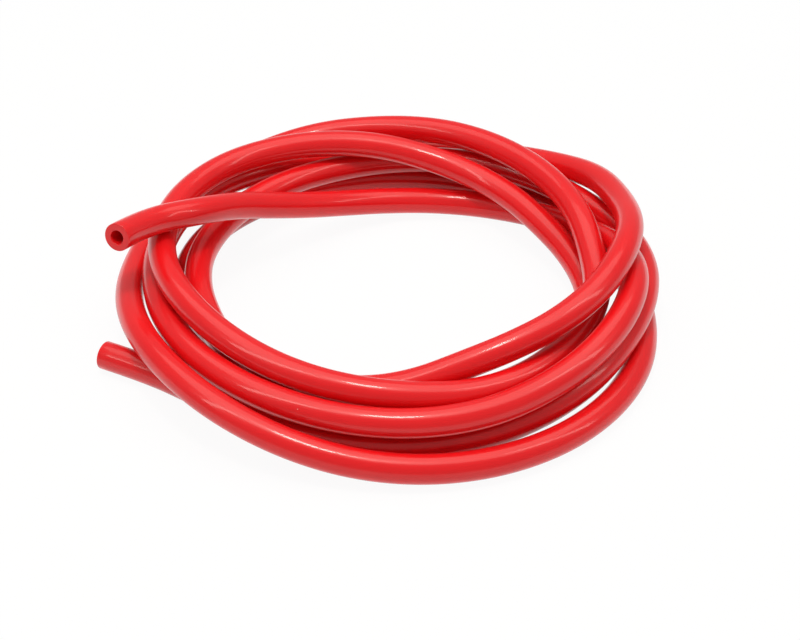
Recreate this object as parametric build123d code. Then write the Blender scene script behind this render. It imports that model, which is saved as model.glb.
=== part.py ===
from build123d import *
import os
from math import cos, hypot, pi, radians, sin, sqrt, tan

os.makedirs("parts", exist_ok=True)

# Driving dimensions, in millimetres. +Z is up and the coil lies on Z = 0.
TUBE_OD = 10.0
BORE_D = 5.0
COIL_RADIUS = 80.0         # mean radius of the turns
STRAND_GAP = 1.1           # clear space that the settling aims for between strands

# Settling of the coil, in its own units
PASSES = 600
PUSH_SHARE = 0.25          # share of each overlap that one pass takes out of a strand
SMOOTHING = 0.04           # pull of a point towards its neighbours along the tube
HOLD = 0.02                # pull of a point back to its drawn place

# The turns start at this angle and run clockwise, seen from above
FIRST_ANGLE = 170.0
STATIONS_PER_TURN = 12

# Each turn has a pair for each station. The first value is how far the strand lies outside
# the mean ring and the second is how far it lies above the table, both in tube diameters.
TURNS = (
    ((-0.49, 2.97), (-2.24, 1.42), (-2.24, 0.45), (-1.46, 0.00), (-0.60, 0.00), (-0.20, 1.15),
     (0.68, 2.35), (0.36, 1.40), (0.25, 1.08), (0.22, 1.06), (0.05, 1.05), (0.46, 1.05)),
    ((1.08, 1.12), (1.42, 1.33), (1.10, 0.53), (1.50, 0.55), (1.58, 0.98), (0.57, 2.32),
     (0.12, 3.10), (-1.02, 2.40), (-1.72, 1.50), (-1.87, 0.42), (-1.95, 0.20), (-1.42, 0.00)),
    ((0.35, 0.00), (0.62, 0.00), (0.35, 0.00), (0.37, 0.00), (0.45, 0.00), (0.45, 0.00),
     (0.72, 0.00), (1.33, 0.00), (1.42, 0.00), (1.25, 0.04), (1.65, 1.05), (1.50, 1.38)),
    ((1.45, 0.00), (2.30, 0.60), (2.25, 1.10), (0.47, 2.10), (-0.39, 2.22), (-0.92, 2.04),
     (-0.70, 1.30), (-0.95, 1.10), (-0.87, 1.18), (-0.78, 1.55), (-0.80, 1.62), (-0.10, 1.95)),
    ((0.75, 2.05), (0.97, 2.30), (-0.15, 2.15), (-0.73, 1.52), (-1.40, 1.16), (-1.15, 0.50),
     (-0.95, 0.10), (-1.00, 0.00), (-0.95, 0.00), (-0.95, 0.00), (-0.77, 0.54), (-1.02, 1.10)),
    ((-0.50, 1.01), (-0.58, 1.20), (-0.25, 1.10), (0.20, 1.04), (0.56, 1.25), (0.62, 1.05),
     (0.68, 1.10), (0.40, 0.85), (0.10, 0.00), (0.10, 0.00), (0.35, 0.00)),
)

# Free ends beyond the drawn turns: angle, lane and level, as above
UPPER_END = ((187.4, 1.75, 3.64), (179.0, 0.74, 3.36))
LOWER_END = ((216.7, 0.67, 0.00), (205.5, 1.55, 0.00), (197.0, 2.78, 0.00))


def drawn_strand():
    """Stations with a point halfway between each two: [angle, radius, height]."""
    drawn = [(COIL_RADIUS + lane * TUBE_OD, TUBE_OD / 2 + level * TUBE_OD)
             for turn in TURNS for lane, level in turn]
    step = 360 / STATIONS_PER_TURN
    last = len(drawn) - 1
    strand = []
    for k, here in enumerate(drawn):
        strand.append([FIRST_ANGLE - step * k, *here])
        if k < last:
            ahead, before, beyond = drawn[k + 1], drawn[max(k - 1, 0)], drawn[min(k + 2, last)]
            middle = [(9 * (a + b) - (c + d)) / 16
                      for a, b, c, d in zip(here, ahead, before, beyond)]
            strand.append([FIRST_ANGLE - step * (k + 0.5), *middle])
    return strand


def clearance_needed(strand, i, j, gap):
    """Distance wanted between points i and j, more where the strands cross steeply."""
    pitch = TUBE_OD + STRAND_GAP
    last = len(strand) - 1
    if min(i, j) == 0 or max(i, j) == last:
        return pitch
    across = [(strand[j + 1][n] - strand[i + 1][n]) - (strand[j - 1][n] - strand[i - 1][n])
              for n in (1, 2)]
    run = 2 * radians(180 / STATIONS_PER_TURN) * (strand[i][1] + strand[j][1]) / 2
    dr, dz = strand[j][1] - strand[i][1], strand[j][2] - strand[i][2]
    slope = (across[1] * dr - across[0] * dz) / (gap * run)
    return pitch * sqrt(1 + slope ** 2)


def push_apart(strand):
    """How far each point moves, in radius and height, to clear the strands beside it."""
    per_turn = 2 * STATIONS_PER_TURN
    moves = [[0.0, 0.0] for _ in strand]
    for i in range(len(strand)):
        for j in range(i + per_turn, len(strand), per_turn):
            dr, dz = strand[j][1] - strand[i][1], strand[j][2] - strand[i][2]
            gap = hypot(dr, dz)
            short = clearance_needed(strand, i, j, gap) - gap
            if short > 0:
                share = PUSH_SHARE * short / gap
                for point, sign in ((i, -1), (j, 1)):
                    moves[point][0] += sign * share * dr
                    moves[point][1] += sign * share * dz
    return moves


def settled_strand():
    """The drawn strand with its turns moved clear of each other and resting on the table."""
    home = drawn_strand()
    strand = [list(point) for point in home]
    for _ in range(PASSES):
        moves = push_apart(strand)
        moved = []
        for k, point in enumerate(strand):
            place = [point[n] + moves[k][n - 1] + HOLD * (home[k][n] - point[n]) for n in (1, 2)]
            if 0 < k < len(strand) - 1:
                for n in (1, 2):
                    middle = (strand[k - 1][n] + strand[k + 1][n]) / 2
                    place[n - 1] += SMOOTHING * (middle - point[n])
            moved.append([point[0], place[0], max(place[1], TUBE_OD / 2)])
        strand = moved
    return strand


def free_end(stations):
    """Stations of a free end as [angle, radius, height]."""
    return [[angle, COIL_RADIUS + lane * TUBE_OD, TUBE_OD / 2 + level * TUBE_OD]
            for angle, lane, level in stations]


def route_points():
    """Points of the tube's route from the upper end to the lower end."""
    polar = free_end(UPPER_END) + settled_strand() + free_end(LOWER_END)
    return [Vector(r * cos(radians(a)), r * sin(radians(a)), z) for a, r, z in polar]


def arc_radius(before, here, ahead):
    """Largest arc that the two runs at a point allow."""
    back, out = before - here, ahead - here
    half_turn = (180 - back.get_angle(out)) / 2
    return 0.45 * min(back.length, out.length) / tan(radians(half_turn))


def make_tubing(points):
    """One hollow length of tube, with its bore open at both square ends."""
    radii = [arc_radius(*three) for three in zip(points, points[1:], points[2:])]
    path = FilletPolyline(*points, radius=radii)
    wall = make_face(Circle(TUBE_OD / 2).edge()) - make_face(Circle(BORE_D / 2).edge())
    start = Plane(origin=points[0], z_dir=points[1] - points[0])
    tube = sweep(start * wall, path=path)
    section = pi / 4 * (TUBE_OD ** 2 - BORE_D ** 2)
    print("arc radii %.1f to %.1f mm" % (min(radii), max(radii)))
    print("length %.0f mm, volume %.4f of section times length"
          % (path.length, tube.volume / (section * path.length)))
    return tube


def centred(tube):
    """The tube with the middle of its box, seen from above, moved to the origin."""
    middle = tube.bounding_box().center()
    return Pos(-middle.X, -middle.Y, 0) * tube


tubing = centred(make_tubing(route_points()))
tubing.label = "tubing"
box = tubing.bounding_box()
print("valid", tubing.is_valid, "solids", len(tubing.solids()))
print("box", box.min, box.max)
for end in tubing.faces().filter_by(GeomType.PLANE):
    print("end", end.center(), "facing", end.normal_at())
export_step(tubing, "parts/tubing.step")
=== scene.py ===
import logging
from dataclasses import dataclass, field
from enum import Enum
from math import cos, pi, radians, sin

import bpy
import numpy as np
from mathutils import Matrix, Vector


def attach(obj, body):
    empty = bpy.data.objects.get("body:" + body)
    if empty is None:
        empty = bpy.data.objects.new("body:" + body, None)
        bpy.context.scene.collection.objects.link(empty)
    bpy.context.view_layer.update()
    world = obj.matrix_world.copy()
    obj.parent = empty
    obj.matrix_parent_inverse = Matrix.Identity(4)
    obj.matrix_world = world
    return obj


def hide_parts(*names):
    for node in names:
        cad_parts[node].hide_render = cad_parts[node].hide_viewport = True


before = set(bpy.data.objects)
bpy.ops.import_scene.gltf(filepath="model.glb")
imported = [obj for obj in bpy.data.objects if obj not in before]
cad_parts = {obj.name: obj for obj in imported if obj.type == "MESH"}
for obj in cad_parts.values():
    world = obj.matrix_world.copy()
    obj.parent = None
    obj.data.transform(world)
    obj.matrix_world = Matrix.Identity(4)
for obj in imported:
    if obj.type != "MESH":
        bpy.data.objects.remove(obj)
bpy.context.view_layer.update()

LOG = logging.getLogger("gas_tubing")
PICTURE_WIDTH = 800

# Driving sizes of the tube, in metres
TUBE_DIAMETER = 0.010
BORE_DIAMETER = 0.005


# Helpers for shader nodes

class NodeKind(Enum):
    """Shader nodes that the finishes use, by Blender's own names."""

    ATTRIBUTE = "ShaderNodeAttribute"
    BUMP = "ShaderNodeBump"
    EMISSION = "ShaderNodeEmission"
    GROUP = "ShaderNodeGroup"
    LIGHT_PATH = "ShaderNodeLightPath"
    MAP_RANGE = "ShaderNodeMapRange"
    MAPPING = "ShaderNodeMapping"
    MATH = "ShaderNodeMath"
    MIX_COLOUR = "ShaderNodeMix"
    MIX_SHADER = "ShaderNodeMixShader"
    NOISE = "ShaderNodeTexNoise"
    OUTPUT = "ShaderNodeOutputMaterial"
    PRINCIPLED = "ShaderNodeBsdfPrincipled"
    VORONOI = "ShaderNodeTexVoronoi"


def add_node(tree: bpy.types.NodeTree, kind: NodeKind, **settings: object) -> bpy.types.Node:
    """Add a node to a tree and set its options.

    Args:
        tree: the node tree that takes the node.
        kind: which node it is.
        settings: values of the node's own options, by name.

    Returns:
        The new node.
    """
    node = tree.nodes.new(kind.value)
    for name, value in settings.items():
        setattr(node, name, value)
    return node


def new_group(name: str, inputs: dict[str, float], outputs: dict[str, str]) -> bpy.types.NodeTree:
    """Make an empty shader node group with named sockets.

    Args:
        name: the group's name.
        inputs: default value of each number that goes in, by name.
        outputs: socket type of each result, by name.

    Returns:
        The group, which has its input and output nodes.
    """
    tree = bpy.data.node_groups.new(name, "ShaderNodeTree")
    tree.interface.new_socket("Place", in_out="INPUT", socket_type="NodeSocketVector")
    for label, value in inputs.items():
        socket = tree.interface.new_socket(label, in_out="INPUT", socket_type="NodeSocketFloat")
        socket.default_value = value
    for label, kind in outputs.items():
        tree.interface.new_socket(label, in_out="OUTPUT", socket_type=kind)
    tree.nodes.new("NodeGroupInput").name = "In"
    tree.nodes.new("NodeGroupOutput").name = "Out"
    return tree


# The finish of the rubber

@dataclass(frozen=True)
class ExtrusionGroup:
    """Fine streaks that the die leaves along an extruded tube, and slow waves of its skin."""

    streaks_per_metre: float = 700.0
    streak_detail: float = 3.0
    stretch: float = 0.02
    waves_per_metre: float = 60.0
    wave_detail: float = 2.0

    def build(self) -> bpy.types.NodeTree:
        """Make the group: Place in, Streaks and Waves out, both from 0 to 1."""
        tree = new_group("extrusion", {"Streak Size": 1.0},
                         {"Streaks": "NodeSocketFloat", "Waves": "NodeSocketFloat"})
        source, sink = tree.nodes["In"], tree.nodes["Out"]
        squeeze = add_node(tree, NodeKind.MAPPING)
        squeeze.inputs["Scale"].default_value = (self.stretch, 1.0, 1.0)
        tree.links.new(source.outputs["Place"], squeeze.inputs["Vector"])
        scale = add_node(tree, NodeKind.MATH, operation="DIVIDE")
        scale.inputs[0].default_value = self.streaks_per_metre
        tree.links.new(source.outputs["Streak Size"], scale.inputs[1])
        streaks = add_node(tree, NodeKind.NOISE)
        streaks.inputs["Detail"].default_value = self.streak_detail
        tree.links.new(squeeze.outputs["Vector"], streaks.inputs["Vector"])
        tree.links.new(scale.outputs["Value"], streaks.inputs["Scale"])
        tree.links.new(streaks.outputs["Fac"], sink.inputs["Streaks"])
        waves = add_node(tree, NodeKind.NOISE)
        waves.inputs["Scale"].default_value = self.waves_per_metre
        waves.inputs["Detail"].default_value = self.wave_detail
        tree.links.new(source.outputs["Place"], waves.inputs["Vector"])
        tree.links.new(waves.outputs["Fac"], sink.inputs["Waves"])
        return tree


@dataclass(frozen=True)
class DustGroup:
    """Sparse pale specks of lint and talc, each in the middle of a cell of a Voronoi pattern.

    Lengths inside a cell are shares of its size. A speck is solid up to a share of its radius
    and fades out from there, and only cells whose random value is above the rarity have one.
    """

    cells_per_metre: float = 260.0
    speck_radius: float = 0.055
    solid_share: float = 0.6
    rarity: float = 0.86

    def build(self) -> bpy.types.NodeTree:
        """Make the group: Place in, Specks out, 1 on a speck and 0 elsewhere."""
        tree = new_group("dust", {"Amount": 1.0}, {"Specks": "NodeSocketFloat"})
        source, sink = tree.nodes["In"], tree.nodes["Out"]
        cells = add_node(tree, NodeKind.VORONOI)
        cells.inputs["Scale"].default_value = self.cells_per_metre
        tree.links.new(source.outputs["Place"], cells.inputs["Vector"])
        near = add_node(tree, NodeKind.MAP_RANGE)
        near.inputs["From Min"].default_value = self.speck_radius
        near.inputs["From Max"].default_value = self.speck_radius * self.solid_share
        tree.links.new(cells.outputs["Distance"], near.inputs["Value"])
        chosen = add_node(tree, NodeKind.MATH, operation="GREATER_THAN")
        chosen.inputs[1].default_value = self.rarity
        tree.links.new(cells.outputs["Color"], chosen.inputs[0])
        both = add_node(tree, NodeKind.MATH, operation="MULTIPLY")
        tree.links.new(near.outputs["Result"], both.inputs[0])
        tree.links.new(chosen.outputs["Value"], both.inputs[1])
        amount = add_node(tree, NodeKind.MATH, operation="MULTIPLY")
        tree.links.new(both.outputs["Value"], amount.inputs[0])
        tree.links.new(source.outputs["Amount"], amount.inputs[1])
        tree.links.new(amount.outputs["Value"], sink.inputs["Specks"])
        return tree


@dataclass(frozen=True)
class GlossyRubber:
    """Red rubber with a smooth extruded skin under a thin glossy film."""

    name: str = "red_rubber"
    colour: tuple[float, float, float, float] = (0.79, 0.008, 0.010, 1.0)
    deep_colour: tuple[float, float, float, float] = (0.73, 0.004, 0.008, 1.0)
    dust_colour: tuple[float, float, float, float] = (0.86, 0.45, 0.40, 1.0)
    roughness: tuple[float, float] = (0.28, 0.35)
    specular: float = 0.30
    coat: float = 0.45
    coat_roughness: float = 0.09
    streak_size: float = 1.0
    streak_height: float = 0.00001
    dust_amount: float = 0.8

    def build(self) -> bpy.types.Material:
        """Make the material, whose pattern runs along the tube as if it were laid straight."""
        material = bpy.data.materials.new(self.name)
        material.use_nodes = True
        tree = material.node_tree
        tree.nodes.clear()
        place = add_node(tree, NodeKind.ATTRIBUTE, attribute_name=TubeMesh.LAID_STRAIGHT)
        skin = add_node(tree, NodeKind.GROUP, node_tree=ExtrusionGroup().build())
        skin.inputs["Streak Size"].default_value = self.streak_size
        dust = add_node(tree, NodeKind.GROUP, node_tree=DustGroup().build())
        dust.inputs["Amount"].default_value = self.dust_amount
        for group in (skin, dust):
            tree.links.new(place.outputs["Vector"], group.inputs["Place"])
        shade = add_node(tree, NodeKind.MIX_COLOUR, data_type="RGBA")
        tree.links.new(skin.outputs["Waves"], shade.inputs["Factor"])
        shade.inputs[6].default_value = self.deep_colour
        shade.inputs[7].default_value = self.colour
        dusty = add_node(tree, NodeKind.MIX_COLOUR, data_type="RGBA")
        dusty.inputs[7].default_value = self.dust_colour
        tree.links.new(shade.outputs[2], dusty.inputs[6])
        tree.links.new(dust.outputs["Specks"], dusty.inputs["Factor"])
        rough = add_node(tree, NodeKind.MAP_RANGE)
        rough.inputs["To Min"].default_value = self.roughness[0]
        rough.inputs["To Max"].default_value = self.roughness[1]
        tree.links.new(skin.outputs["Streaks"], rough.inputs["Value"])
        bump = add_node(tree, NodeKind.BUMP)
        bump.inputs["Distance"].default_value = self.streak_height
        tree.links.new(skin.outputs["Streaks"], bump.inputs["Height"])
        shader = add_node(tree, NodeKind.PRINCIPLED)
        shader.inputs["Specular IOR Level"].default_value = self.specular
        shader.inputs["Coat Weight"].default_value = self.coat
        shader.inputs["Coat Roughness"].default_value = self.coat_roughness
        tree.links.new(dusty.outputs[2], shader.inputs["Base Color"])
        tree.links.new(rough.outputs["Result"], shader.inputs["Roughness"])
        tree.links.new(bump.outputs["Normal"], shader.inputs["Normal"])
        output = add_node(tree, NodeKind.OUTPUT)
        tree.links.new(shader.outputs["BSDF"], output.inputs["Surface"])
        return material


# The coil's route

@dataclass(frozen=True)
class CoilRoute:
    """Route of the tube: drawn turns, moved clear of each other as a coil settles.

    Each turn holds a pair for each station, 30 degrees apart and clockwise from above. The
    first value is how far the strand lies outside the mean ring and the second is how far it
    lies above the floor, both in tube diameters. A free end's stations have an angle as well.
    Some stations differ from the CAD model's, moved to follow the photograph. The box
    centre is where the middle of the drawn coil lies, seen from above.
    """

    tube_diameter: float = TUBE_DIAMETER
    coil_radius: float = 0.080
    strand_gap: float = 0.0011
    box_centre: tuple[float, float] = (-0.00600, 0.00078)
    first_angle: float = 170.0
    stations_per_turn: int = 12
    passes: int = 600
    push_share: float = 0.25
    smoothing: float = 0.04
    hold: float = 0.02
    turns: tuple = (
        ((-0.68, 3.04), (-2.38, 1.42), (-2.24, 0.45), (-1.46, 0.00), (-0.60, 0.00), (-0.20, 1.15),
         (0.68, 2.35), (0.36, 1.40), (0.25, 1.08), (0.22, 1.06), (0.22, 1.25), (0.80, 1.50)),
        ((1.30, 1.05), (1.50, 1.33), (1.10, 0.53), (1.48, 0.55), (1.49, 0.98), (0.52, 2.32),
         (0.12, 3.10), (-1.02, 2.40), (-1.72, 1.50), (-1.87, 0.42), (-1.95, 0.20), (-1.42, 0.00)),
        ((0.50, 0.00), (0.62, 0.00), (0.35, 0.00), (0.37, 0.00), (0.45, 0.00), (0.45, 0.00),
         (0.74, 0.00), (1.42, 0.00), (1.52, 0.00), (1.27, 0.04), (1.60, 1.35), (1.25, 1.50)),
        ((1.55, 0.40), (2.30, 0.60), (2.25, 1.10), (0.47, 2.10), (-0.39, 2.22), (-0.92, 2.04),
         (-0.70, 1.30), (-0.95, 1.10), (-0.87, 1.18), (-0.78, 1.55), (-0.80, 1.62), (0.18, 2.10)),
        ((0.97, 2.05), (1.05, 2.30), (-0.15, 2.15), (-0.73, 1.52), (-1.40, 1.16), (-1.15, 0.50),
         (-0.95, 0.10), (-1.00, 0.00), (-0.95, 0.00), (-0.95, 0.00), (-0.77, 0.54), (-1.02, 1.10)),
        ((-0.45, 1.01), (-0.58, 1.20), (-0.25, 1.10), (0.20, 1.04), (0.56, 1.25), (0.62, 1.05),
         (0.68, 1.10), (0.40, 0.85), (0.10, 0.00), (0.10, 0.00), (0.35, 0.00)),
    )
    upper_end: tuple = ((188.7, 1.85, 3.76), (179.2, 0.99, 3.34))
    lower_end: tuple = ((216.7, 0.67, 0.00), (205.2, 1.53, 0.00), (197.4, 2.80, 0.00))

    def section_places(self, stations: np.ndarray) -> np.ndarray:
        """Turn lanes and levels into radii and heights in metres."""
        base = np.array([self.coil_radius, self.tube_diameter / 2])
        return base + stations * self.tube_diameter

    def drawn(self) -> np.ndarray:
        """Stations with a point halfway between each two.

        A halfway point is nine sixteenths of its two neighbours less one sixteenth of the two
        beyond them, which lies on the cubic through all four.

        Returns:
            Radius and height of each point.
        """
        places = self.section_places(np.array([pair for turn in self.turns for pair in turn]))
        padded = np.concatenate([places[:1], places, places[-1:]])
        middles = (9 * (padded[1:-2] + padded[2:-1]) - (padded[:-3] + padded[3:])) / 16
        strand = np.empty((len(places) + len(middles), 2))
        strand[0::2] = places
        strand[1::2] = middles
        return strand

    def pushes(self, strand: np.ndarray) -> np.ndarray:
        """How far each point moves to clear the strands beside it.

        Two points a whole number of turns apart lie in one upright section. Where they are
        nearer than a pitch, which grows with the slope of one strand against the other, both
        move apart along the line between them.

        Args:
            strand: radius and height of each point.

        Returns:
            Move in radius and height of each point.
        """
        per_turn = 2 * self.stations_per_turn
        pitch = self.tube_diameter + self.strand_gap
        slopes = np.zeros_like(strand)
        slopes[1:-1] = strand[2:] - strand[:-2]
        inner = np.ones(len(strand))
        inner[[0, -1]] = 0.0
        moves = np.zeros_like(strand)
        for offset in range(per_turn, len(strand), per_turn):
            low, high = strand[:-offset], strand[offset:]
            across = slopes[offset:] - slopes[:-offset]
            line = high - low
            gap = np.hypot(line[:, 0], line[:, 1])
            run = 2 * pi / per_turn * (low[:, 0] + high[:, 0])
            slope = (across[:, 1] * line[:, 0] - across[:, 0] * line[:, 1]) / (gap * run)
            slope *= inner[:-offset] * inner[offset:]
            short = np.maximum(pitch * np.sqrt(1 + slope ** 2) - gap, 0)
            push = (self.push_share * short / gap)[:, None] * line
            moves[:-offset] -= push
            moves[offset:] += push
        return moves

    def settled(self) -> np.ndarray:
        """Radius and height of each point once the turns lie clear of each other."""
        home = self.drawn()
        strand = home.copy()
        for _ in range(self.passes):
            moved = strand + self.pushes(strand) + self.hold * (home - strand)
            middles = (strand[:-2] + strand[2:]) / 2
            moved[1:-1] += self.smoothing * (middles - strand[1:-1])
            moved[:, 1] = np.maximum(moved[:, 1], self.tube_diameter / 2)
            strand = moved
        return strand

    def points(self) -> np.ndarray:
        """Control points of the route from the upper end to the lower end, in metres."""
        strand = self.settled()
        angles = self.first_angle - 180 / self.stations_per_turn * np.arange(len(strand))
        upper, lower = np.array(self.upper_end), np.array(self.lower_end)
        bearings = np.radians(np.concatenate([upper[:, 0], angles, lower[:, 0]]))
        places = np.concatenate([self.section_places(upper[:, 1:]), strand,
                                 self.section_places(lower[:, 1:])])
        radius, height = places.T
        return np.column_stack([radius * np.cos(bearings) - self.box_centre[0],
                                radius * np.sin(bearings) - self.box_centre[1], height])

    def smooth_line(self, points: np.ndarray, resolution: int) -> np.ndarray:
        """Read the line of one smooth spline that has the route's points as control points.

        Args:
            points: control points.
            resolution: steps that Blender takes from one control point to the next.

        Returns:
            Points along the smooth line, in order.
        """
        curve = bpy.data.curves.new("route", "CURVE")
        curve.dimensions = "3D"
        curve.resolution_u = resolution
        spline = curve.splines.new("NURBS")
        spline.points.add(len(points) - 1)
        spline.points.foreach_set("co", np.column_stack([points, np.ones(len(points))]).ravel())
        spline.order_u = 3
        spline.use_endpoint_u = True
        holder = bpy.data.objects.new("route", curve)
        line = bpy.data.meshes.new_from_object(holder)
        flat = np.empty(3 * len(line.vertices))
        line.vertices.foreach_get("co", flat)
        bpy.data.objects.remove(holder)
        bpy.data.meshes.remove(line)
        bpy.data.curves.remove(curve)
        return flat.reshape(-1, 3)


# The tube

@dataclass
class TubeMesh:
    """Skin of a hollow tube along a line: outside, cut faces and bore as one closed surface."""

    LAID_STRAIGHT = "laid_straight"

    outer_radius: float = TUBE_DIAMETER / 2
    bore_radius: float = BORE_DIAMETER / 2
    edge_radius: float = 0.00022
    edge_steps: int = 4
    face_steps: int = 5
    segments: int = 48
    bore_thinning: int = 2

    def end_profile(self) -> np.ndarray:
        """Rings of a cut end, from the outside to the bore.

        The outer edge is a quarter circle, the face is flat, and the bore's edge is another
        quarter circle. Each row is a ring's radius and its distance short of the tip.

        Returns:
            Radius and setback of each ring.
        """
        turn = np.linspace(0, pi / 2, self.edge_steps)
        edge = self.edge_radius
        rim = np.column_stack([self.outer_radius - edge + edge * np.cos(turn),
                               edge - edge * np.sin(turn)])
        face_radii = np.linspace(self.outer_radius - edge, self.bore_radius + edge,
                                 self.face_steps)[1:-1]
        face = np.column_stack([face_radii, np.zeros(len(face_radii))])
        lip = np.column_stack([self.bore_radius + edge - edge * np.sin(turn),
                               edge - edge * np.cos(turn)])
        return np.concatenate([rim, face, lip])

    def rings(self, line: np.ndarray) -> tuple[np.ndarray, np.ndarray, np.ndarray]:
        """Lay out every ring of the closed surface, once round through the bore.

        Args:
            line: points along the middle of the tube.

        Returns:
            Centre, radius and direction of each ring.
        """
        ahead = np.gradient(line, axis=0)
        ahead /= np.linalg.norm(ahead, axis=1)[:, None]
        end = self.end_profile()
        tip = line[-1] - end[:, 1:] * ahead[-1]
        root = line[0] + end[::-1, 1:] * ahead[0]
        inside = np.arange(len(line) - 2, 0, -self.bore_thinning)
        centres = np.concatenate([line[1:-1], tip, line[inside], root])
        aheads = np.concatenate([ahead[1:-1], np.repeat(ahead[-1:], len(end), axis=0),
                                 ahead[inside], np.repeat(ahead[:1], len(end), axis=0)])
        radii = np.concatenate([np.full(len(line) - 2, self.outer_radius), end[:, 0],
                                np.full(len(inside), self.bore_radius), end[::-1, 0]])
        return centres, radii, aheads

    def build(self, name: str, line: np.ndarray) -> bpy.types.Object:
        """Carry the profile along the line and close it on itself.

        A point is its ring's centre plus the ring's radius times the cosine of its bearing
        sideways and the sine of it upwards, and both directions of the grid wrap around.

        Args:
            name: the piece's name.
            line: points along the middle of the tube.

        Returns:
            The piece, whose attribute holds each point's place on the tube laid straight.
        """
        centres, radii, ahead = self.rings(line)
        side = np.cross(ahead, [0.0, 0.0, 1.0])
        side /= np.linalg.norm(side, axis=1)[:, None]
        rise = np.cross(side, ahead)
        bearing = 2 * pi * np.arange(self.segments) / self.segments
        across, upward = np.cos(bearing), np.sin(bearing)
        spread = across[None, :, None] * side[:, None] + upward[None, :, None] * rise[:, None]
        vertices = centres[:, None] + radii[:, None, None] * spread

        count = len(centres)
        ring = np.arange(count)[:, None] * self.segments
        next_ring = (np.arange(count)[:, None] + 1) % count * self.segments
        here = np.arange(self.segments)[None]
        beside = (here + 1) % self.segments
        faces = np.stack([ring + here, next_ring + here, next_ring + beside, ring + beside],
                         axis=-1).reshape(-1, 4)

        along = np.concatenate([[0.0], np.cumsum(np.linalg.norm(np.diff(line, axis=0), axis=1))])
        nearest = np.argmin(np.linalg.norm(centres[:, None] - line[None], axis=2), axis=1)
        straight = np.stack([np.repeat(along[nearest][:, None], self.segments, axis=1),
                             radii[:, None] * across, radii[:, None] * upward], axis=-1)

        mesh = bpy.data.meshes.new(name)
        mesh.from_pydata(vertices.reshape(-1, 3), [], faces)
        mesh.shade_smooth()
        place = mesh.attributes.new(self.LAID_STRAIGHT, "FLOAT_VECTOR", "POINT")
        place.data.foreach_set("vector", straight.ravel())
        mesh.validate()
        mesh.update()
        piece = bpy.data.objects.new(name, mesh)
        bpy.context.scene.collection.objects.link(piece)
        return piece


@dataclass
class GasTubing:
    """The coil of tubing: one hollow length with two plain cut ends."""

    node: str = "tubing"
    length: float = 3.04
    route: CoilRoute = field(default_factory=CoilRoute)
    tube: TubeMesh = field(default_factory=TubeMesh)
    finish: GlossyRubber = field(default_factory=GlossyRubber)
    steps_per_point: int = 8

    def build(self) -> bpy.types.Object:
        """Returns:
            The piece that stands for the tubing.
        """
        line = self.route.smooth_line(self.route.points(), self.steps_per_point)
        piece = self.tube.build("rubber_tubing", line)
        piece.data.materials.append(self.finish.build())
        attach(piece, "root")
        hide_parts(self.node)
        LOG.info("%s: %d points along the middle, %d faces", piece.name, len(line),
                 len(piece.data.polygons))
        return piece


# The studio

@dataclass(frozen=True)
class SoftLamp:
    """A rectangular lamp that looks at a point of the coil."""

    name: str
    place: tuple[float, float, float]
    size: tuple[float, float]
    power: float
    colour: tuple[float, float, float] = (1.0, 0.97, 0.90)
    aim: tuple[float, float, float] = (0.0, 0.0, 0.02)

    def build(self) -> bpy.types.Object:
        """Make the lamp, turned to face its aim."""
        light = bpy.data.lights.new(self.name, "AREA")
        light.shape = "RECTANGLE"
        light.size, light.size_y = self.size
        light.energy = self.power
        light.color = self.colour
        lamp = bpy.data.objects.new(self.name, light)
        lamp.location = self.place
        sight = Vector(self.aim) - Vector(self.place)
        lamp.rotation_euler = sight.to_track_quat("-Z", "Y").to_euler()
        bpy.context.scene.collection.objects.link(lamp)
        return lamp


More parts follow.
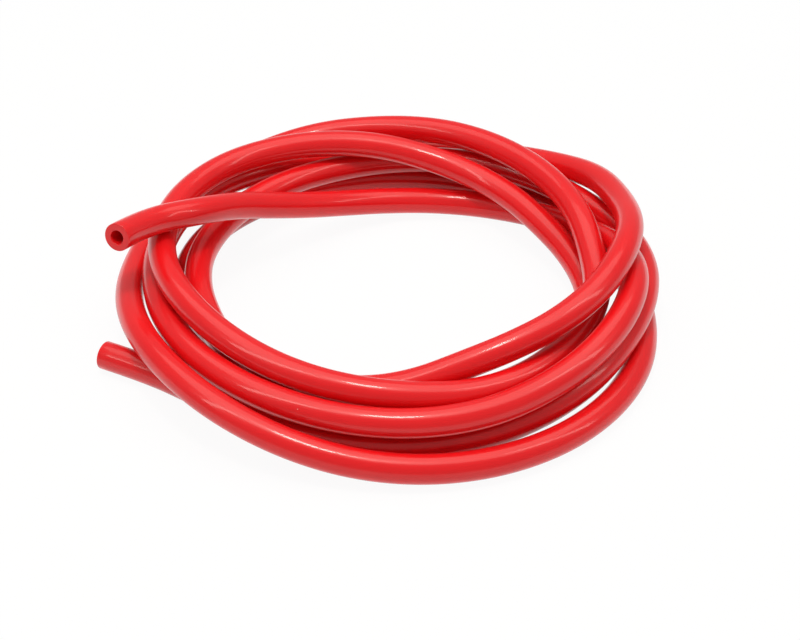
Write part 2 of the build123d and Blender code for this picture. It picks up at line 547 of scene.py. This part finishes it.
@dataclass
class Studio:
    """White floor, soft lamps and the camera, in metres and degrees."""

    floor_size: float = 6.0
    floor_colour: tuple[float, float, float, float] = (0.86, 0.86, 0.86, 1.0)
    floor_roughness: float = 0.9
    floor_whitening: float = 0.94
    world_strength: float = 0.36
    look_at: tuple[float, float, float] = (0.0060, -0.0222, 0.012)
    distance: float = 0.603
    elevation: float = 37.0
    focal_pixels: float = 1715.0
    sensor_width: float = 36.0
    clip: tuple[float, float] = (0.01, 20.0)
    lamps: tuple[SoftLamp, ...] = (
        SoftLamp("panel", (0.0, 0.20, 1.1), (1.5, 1.2), 8.0),
        SoftLamp("key", (-0.05, -0.12, 1.0), (0.17, 0.15), 2.8),
        SoftLamp("strip_left", (-0.55, -0.25, 0.75), (0.10, 0.7), 1.2),
        SoftLamp("strip_right", (0.65, -0.10, 0.70), (0.10, 0.7), 1.0),
    )

    def build_floor(self) -> bpy.types.Object:
        """Make the floor, which the camera and reflections see as near white."""
        half = self.floor_size / 2
        mesh = bpy.data.meshes.new("floor")
        mesh.from_pydata([(-half, -half, 0), (half, -half, 0), (half, half, 0), (-half, half, 0)],
                         [], [(0, 1, 2, 3)])
        floor = bpy.data.objects.new("floor", mesh)
        bpy.context.scene.collection.objects.link(floor)
        mesh.materials.append(self.build_floor_finish())
        return floor

    def build_floor_finish(self) -> bpy.types.Material:
        """Mix plain pale board with white for camera, glossy and transmission rays."""
        material = bpy.data.materials.new("floor")
        material.use_nodes = True
        tree = material.node_tree
        tree.nodes.clear()
        board = add_node(tree, NodeKind.PRINCIPLED)
        board.inputs["Base Color"].default_value = self.floor_colour
        board.inputs["Roughness"].default_value = self.floor_roughness
        white = add_node(tree, NodeKind.EMISSION)
        share = self.seen_share(tree)
        mix = add_node(tree, NodeKind.MIX_SHADER)
        tree.links.new(share.outputs["Value"], mix.inputs["Fac"])
        tree.links.new(board.outputs["BSDF"], mix.inputs[1])
        tree.links.new(white.outputs["Emission"], mix.inputs[2])
        output = add_node(tree, NodeKind.OUTPUT)
        tree.links.new(mix.outputs["Shader"], output.inputs["Surface"])
        return material

    def seen_share(self, tree: bpy.types.NodeTree) -> bpy.types.Node:
        """Node that gives the share of plain white, on rays that show the background."""
        rays = add_node(tree, NodeKind.LIGHT_PATH)
        camera_or_glossy = add_node(tree, NodeKind.MATH, operation="MAXIMUM")
        tree.links.new(rays.outputs["Is Camera Ray"], camera_or_glossy.inputs[0])
        tree.links.new(rays.outputs["Is Glossy Ray"], camera_or_glossy.inputs[1])
        shown = add_node(tree, NodeKind.MATH, operation="MAXIMUM")
        tree.links.new(camera_or_glossy.outputs["Value"], shown.inputs[0])
        tree.links.new(rays.outputs["Is Transmission Ray"], shown.inputs[1])
        share = add_node(tree, NodeKind.MATH, operation="MULTIPLY")
        share.inputs[1].default_value = self.floor_whitening
        tree.links.new(shown.outputs["Value"], share.inputs[0])
        return share

    def build_world(self) -> None:
        """Make the plain soft light from all round, white where the camera sees it."""
        world = bpy.data.worlds.new("studio")
        world.use_nodes = True
        tree = world.node_tree
        background = tree.nodes["Background"]
        background.inputs["Color"].default_value = (1.0, 1.0, 1.0, 1.0)
        rays = add_node(tree, NodeKind.LIGHT_PATH)
        strength = add_node(tree, NodeKind.MAP_RANGE)
        strength.inputs["To Min"].default_value = self.world_strength
        strength.inputs["To Max"].default_value = 1.0
        tree.links.new(rays.outputs["Is Camera Ray"], strength.inputs["Value"])
        tree.links.new(strength.outputs["Result"], background.inputs["Strength"])
        bpy.context.scene.world = world

    def build_camera(self) -> bpy.types.Object:
        """Make the camera, which looks down on the coil from the near side."""
        camera = bpy.data.cameras.new("camera")
        camera.sensor_width = self.sensor_width
        camera.lens = self.focal_pixels / PICTURE_WIDTH * self.sensor_width
        camera.clip_start, camera.clip_end = self.clip
        holder = bpy.data.objects.new("camera", camera)
        tilt = radians(self.elevation)
        target = Vector(self.look_at)
        holder.location = target + self.distance * Vector((0.0, -cos(tilt), sin(tilt)))
        holder.rotation_euler = (target - holder.location).to_track_quat("-Z", "Y").to_euler()
        bpy.context.scene.collection.objects.link(holder)
        bpy.context.scene.camera = holder
        return holder

    def build(self) -> None:
        """Make the whole studio."""
        bpy.context.scene.view_settings.view_transform = "Standard"
        self.build_camera()
        self.build_world()
        self.build_floor()
        for lamp in self.lamps:
            lamp.build()


def main() -> None:
    """Build the studio and the tubing, and report each piece."""
    logging.basicConfig(level=logging.INFO, format="%(name)s: %(message)s")
    Studio().build()
    piece = GasTubing().build()
    LOG.info("built %s", piece.name)


if __name__ == "__main__":
    main()
